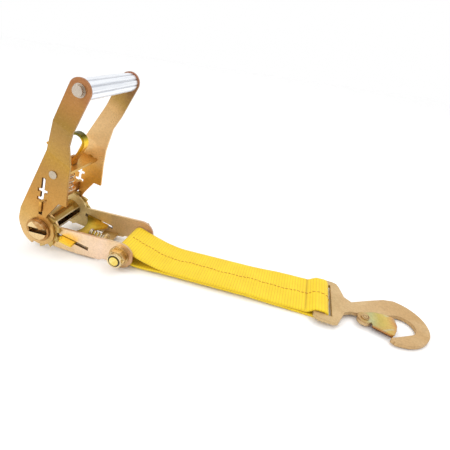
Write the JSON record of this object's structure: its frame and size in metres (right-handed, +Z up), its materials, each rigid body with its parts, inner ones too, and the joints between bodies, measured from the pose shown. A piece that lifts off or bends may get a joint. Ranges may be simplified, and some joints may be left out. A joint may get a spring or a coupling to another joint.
{
  "type": "ratchet tie down",
  "caption": "Ratchet buckle with a fluted grip, spring pawls and slotted mandrel, and a short doubled webbing strap ending in a flat snap hook.",
  "frame": {"origin": "centre of the slotted mandrel, midway across the ratchet", "axes": "+X runs along the webbing to the hook, +Z is up from the ground that the ratchet and webbing lie on, and Y is across the webbing; the nut is on the -Y side"},
  "size_m": [0.4311, 0.0998, 0.1884],
  "materials": {
    "zinc_bright": "yellow-passivated zinc plate, pale",
    "zinc_yellow": "yellow-passivated zinc plate, deep gold",
    "zinc_handle": "yellow-passivated zinc plate, tan",
    "zinc_hook": "yellow-passivated zinc plate on a forged or stamped hook",
    "zinc_gate": "yellow-passivated zinc plate, greenish",
    "spring_steel": "bright drawn steel",
    "grip_aluminium": "extruded, fluted",
    "nylon": "locking ring, grey",
    "webbing": "woven polyester webbing, yellow"
  },
  "bodies": {
    "base": {"base_plate_near": "zinc_bright", "base_plate_far": "zinc_bright", "base_cross_plate": "zinc_yellow", "strap_bolt": "zinc_yellow", "bolt_washers": "zinc_bright", "lock_nut": "zinc_yellow", "nut_insert": "nylon", "base_spring": "spring_steel"},
    "mandrel": {"mandrel_half_upper": "zinc_bright", "mandrel_half_lower": "zinc_bright", "gear_near": "zinc_bright", "gear_far": "zinc_bright", "mandrel_clip_near": "zinc_bright", "mandrel_clip_far": "zinc_bright"},
    "base_lock": {"base_pawl": "zinc_yellow"},
    "handle": {"handle_plate_near": "zinc_handle", "handle_plate_far": "zinc_handle", "handle_cross_plate": "zinc_handle", "grip_tube": "grip_aluminium", "grip_rod": "spring_steel", "grip_washers": "zinc_bright", "handle_spring": "spring_steel"},
    "handle_release": {"handle_pawl": "zinc_yellow", "finger_pull": "zinc_handle"},
    "strap": {"strap_webbing": "webbing"},
    "hook": {"flat_hook": "zinc_hook", "gate_rivet": "spring_steel", "gate_spring": "spring_steel"},
    "gate": {"hook_gate": "zinc_gate"}
  },
  "joints": [
    {"name": "handle_hinge", "type": "hinge", "parent": "base", "child": "handle", "pos_m": [0, 0, 0], "axis": [0, -1, 0], "range_deg": [-52, 110]},
    {"name": "mandrel_spin", "type": "hinge", "parent": "base", "child": "mandrel", "pos_m": [0, 0, 0], "axis": [0, -1, 0], "continuous": true},
    {"name": "base_pawl_slide", "type": "slide", "parent": "base", "child": "base_lock", "axis": [0.9703, 0, -0.2419], "range_m": [0, 0.007], "stiffness_N_per_m": 600, "springref_m": -0.01, "deforming": ["base_spring"]},
    {"name": "handle_pawl_slide", "type": "slide", "parent": "handle", "child": "handle_release", "axis": [0.2164, 0, 0.9763], "range_m": [0, 0.007], "stiffness_N_per_m": 600, "springref_m": -0.01, "deforming": ["handle_spring"]},
    {"name": "strap_swing", "type": "hinge", "parent": "base", "child": "strap", "pos_m": [0.0922, 0, -0.011], "axis": [0, -1, 0], "range_deg": [-60, 25]},
    {"name": "hook_swing", "type": "hinge", "parent": "strap", "child": "hook", "pos_m": [0.3053, 0, -0.0196], "axis": [0, -1, 0], "range_deg": [-5, 12]},
    {"name": "gate_hinge", "type": "hinge", "parent": "hook", "child": "gate", "pos_m": [0.34557, -0.0138, -0.02129], "axis": [0.0419, 0, 0.9991], "range_deg": [0, 35], "stiffness_Nm_per_rad": 0.05, "springref_deg": -22.92}
  ]
}
